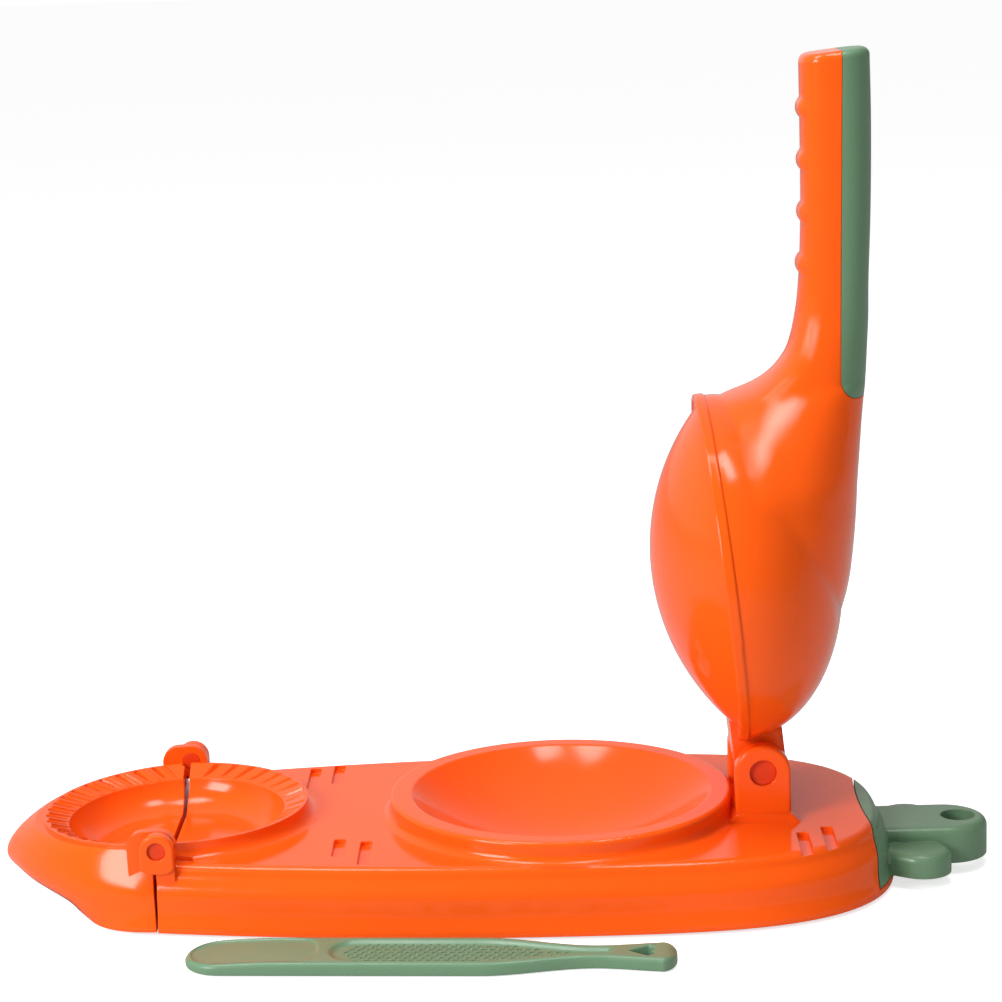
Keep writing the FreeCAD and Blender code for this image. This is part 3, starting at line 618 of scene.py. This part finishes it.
stageLook = {
    "floorSize": 30.0,
    "floorDrop": 0.0004,
    "floorShade": 0.8,
    "floorGlossShade": 0.35,  # the darker floor that gloss sees
    "floorGlow": 0.7,  # what the camera sees it give off
    "floorSheen": 0.3,  # share of the back sheen that it shows to gloss
    "floorSpan": (-0.3, 0.3),  # where that sheen rises, front to back
    "backdropLevel": 1.0,  # what the camera sees behind it all
    "worldLevel": 0.34,  # light from all round
    "sheenBack": 0.62,  # what gloss sees behind the maker
    "sheenFront": 0.05,  # and in front of it
    "sheenSpan": (-0.7, 0.5),  # directions between which it rises
    "sheenRight": 0.15,  # share of it that is left towards the right
    "rightSpan": (0.1, 0.7),
}
lampLooks = [
    {
        "name": "keyLamp",
        "place": (-1.05, -0.95, 0.7),
        "target": (0.0, 0.0, 0.1),
        "size": (0.6, 0.6),
        "energy": 17.5,
    },
    {
        "name": "topLeftLamp",
        "place": (-0.35, -0.12, 1.15),
        "target": (-0.12, 0.0, 0.0),
        "size": (0.3, 0.45),
        "energy": 5.0,
    },
    {
        "name": "topRightLamp",
        "place": (0.16, -0.18, 1.2),
        "target": (0.05, 0.0, 0.0),
        "size": (0.22, 0.4),
        "energy": 3.5,
    },
]


# first 1 where the ray comes from the camera,
# then 1 where it comes off gloss or through something clear
def rayKinds(tree):
    path = addNode(tree, "ShaderNodeLightPath", (-900, 0))
    gloss = addNode(tree, "ShaderNodeMath", (-700, -100), operation="MAXIMUM")
    wire(tree, path.outputs["Is Glossy Ray"], gloss.inputs[0])
    wire(tree, path.outputs["Is Transmission Ray"], gloss.inputs[1])
    return path.outputs["Is Camera Ray"], gloss.outputs[0]


# a level that goes from low to high along one axis
def rampAlong(tree, socket, axis, low, high, span):
    split = addNode(tree, "ShaderNodeSeparateXYZ", (-900, -300))
    wire(tree, socket, split.inputs[0])
    ramp = addNode(tree, "ShaderNodeMapRange", (-700, -300), interpolation_type="SMOOTHSTEP")
    wire(tree, split.outputs[axis], ramp.inputs["Value"])
    wire(tree, span[0], ramp.inputs["From Min"])
    wire(tree, span[1], ramp.inputs["From Max"])
    wire(tree, low, ramp.inputs["To Min"])
    wire(tree, high, ramp.inputs["To Max"])
    return ramp.outputs["Result"]


def mixLevel(tree, factor, low, high, place):
    node = addNode(tree, "ShaderNodeMix", place, data_type="FLOAT")
    wire(tree, factor, node.inputs["Factor"])
    wire(tree, low, node.inputs["A"])
    wire(tree, high, node.inputs["B"])
    return node.outputs["Result"]


def floorFinish(look):
    material = bpy.data.materials.new("paleTable")
    material.use_nodes = True
    tree = material.node_tree
    tree.nodes.remove(tree.nodes["Principled BSDF"])
    out = tree.nodes["Material Output"]
    diffuse = addNode(tree, "ShaderNodeBsdfDiffuse", (-300, 100))
    glow = addNode(tree, "ShaderNodeEmission", (-300, -100))
    seen, gloss = rayKinds(tree)
    shade = mixLevel(tree, gloss, look["floorShade"], look["floorGlossShade"], (-500, 100))
    wire(tree, shade, diffuse.inputs["Color"])
    where = addNode(tree, "ShaderNodeNewGeometry", (-1100, -300))
    sheenTop = look["sheenBack"] * look["floorSheen"]
    sheen = rampAlong(tree, where.outputs["Position"], "Y", 0.0, sheenTop, look["floorSpan"])
    level = mixLevel(tree, gloss, 0.0, sheen, (-500, -150))
    level = mixLevel(tree, seen, level, look["floorGlow"], (-400, -150))
    wire(tree, level, glow.inputs["Strength"])
    both = addNode(tree, "ShaderNodeAddShader", (-100, 0))
    wire(tree, diffuse.outputs[0], both.inputs[0])
    wire(tree, glow.outputs[0], both.inputs[1])
    wire(tree, both.outputs[0], out.inputs["Surface"])
    return material


def makeFloor(look):
    half = look["floorSize"] / 2
    mesh = bpy.data.meshes.new("tableTop")
    corners = [(-half, -half), (half, -half), (half, half), (-half, half)]
    mesh.from_pydata([(x, y, -look["floorDrop"]) for x, y in corners], [], [(0, 1, 2, 3)])
    floor = bpy.data.objects.new("tableTop", mesh)
    bpy.context.scene.collection.objects.link(floor)
    mesh.materials.append(floorFinish(look))


def makeWorld(look):
    world = bpy.data.worlds.new("studio")
    bpy.context.scene.world = world
    world.use_nodes = True
    tree = world.node_tree
    backdrop = tree.nodes["Background"]
    backdrop.inputs["Color"].default_value = (1, 1, 1, 1)
    seen, gloss = rayKinds(tree)
    where = addNode(tree, "ShaderNodeTexCoord", (-1100, -300)).outputs["Generated"]
    sheen = rampAlong(tree, where, "Y", look["sheenFront"], look["sheenBack"], look["sheenSpan"])
    share = rampAlong(tree, where, "X", 1.0, look["sheenRight"], look["rightSpan"])
    dimmed = addNode(tree, "ShaderNodeMath", (-600, -200), operation="MULTIPLY")
    wire(tree, sheen, dimmed.inputs[0])
    wire(tree, share, dimmed.inputs[1])
    level = mixLevel(tree, gloss, look["worldLevel"], dimmed.outputs[0], (-500, -150))
    level = mixLevel(tree, seen, level, look["backdropLevel"], (-400, -150))
    wire(tree, level, backdrop.inputs["Strength"])


def makeLamp(look):
    data = bpy.data.lights.new(look["name"], "AREA")
    data.shape = "RECTANGLE"
    data.size, data.size_y = look["size"]
    data.energy = look["energy"]
    lamp = bpy.data.objects.new(look["name"], data)
    aim = (Vector(look["target"]) - Vector(look["place"])).to_track_quat("-Z", "Y")
    lamp.matrix_world = Matrix.Translation(look["place"]) @ aim.to_matrix().to_4x4()
    bpy.context.scene.collection.objects.link(lamp)


makeFloor(stageLook)
makeWorld(stageLook)
for lampLook in lampLooks:
    makeLamp(lampLook)
print("stage and lamps set")
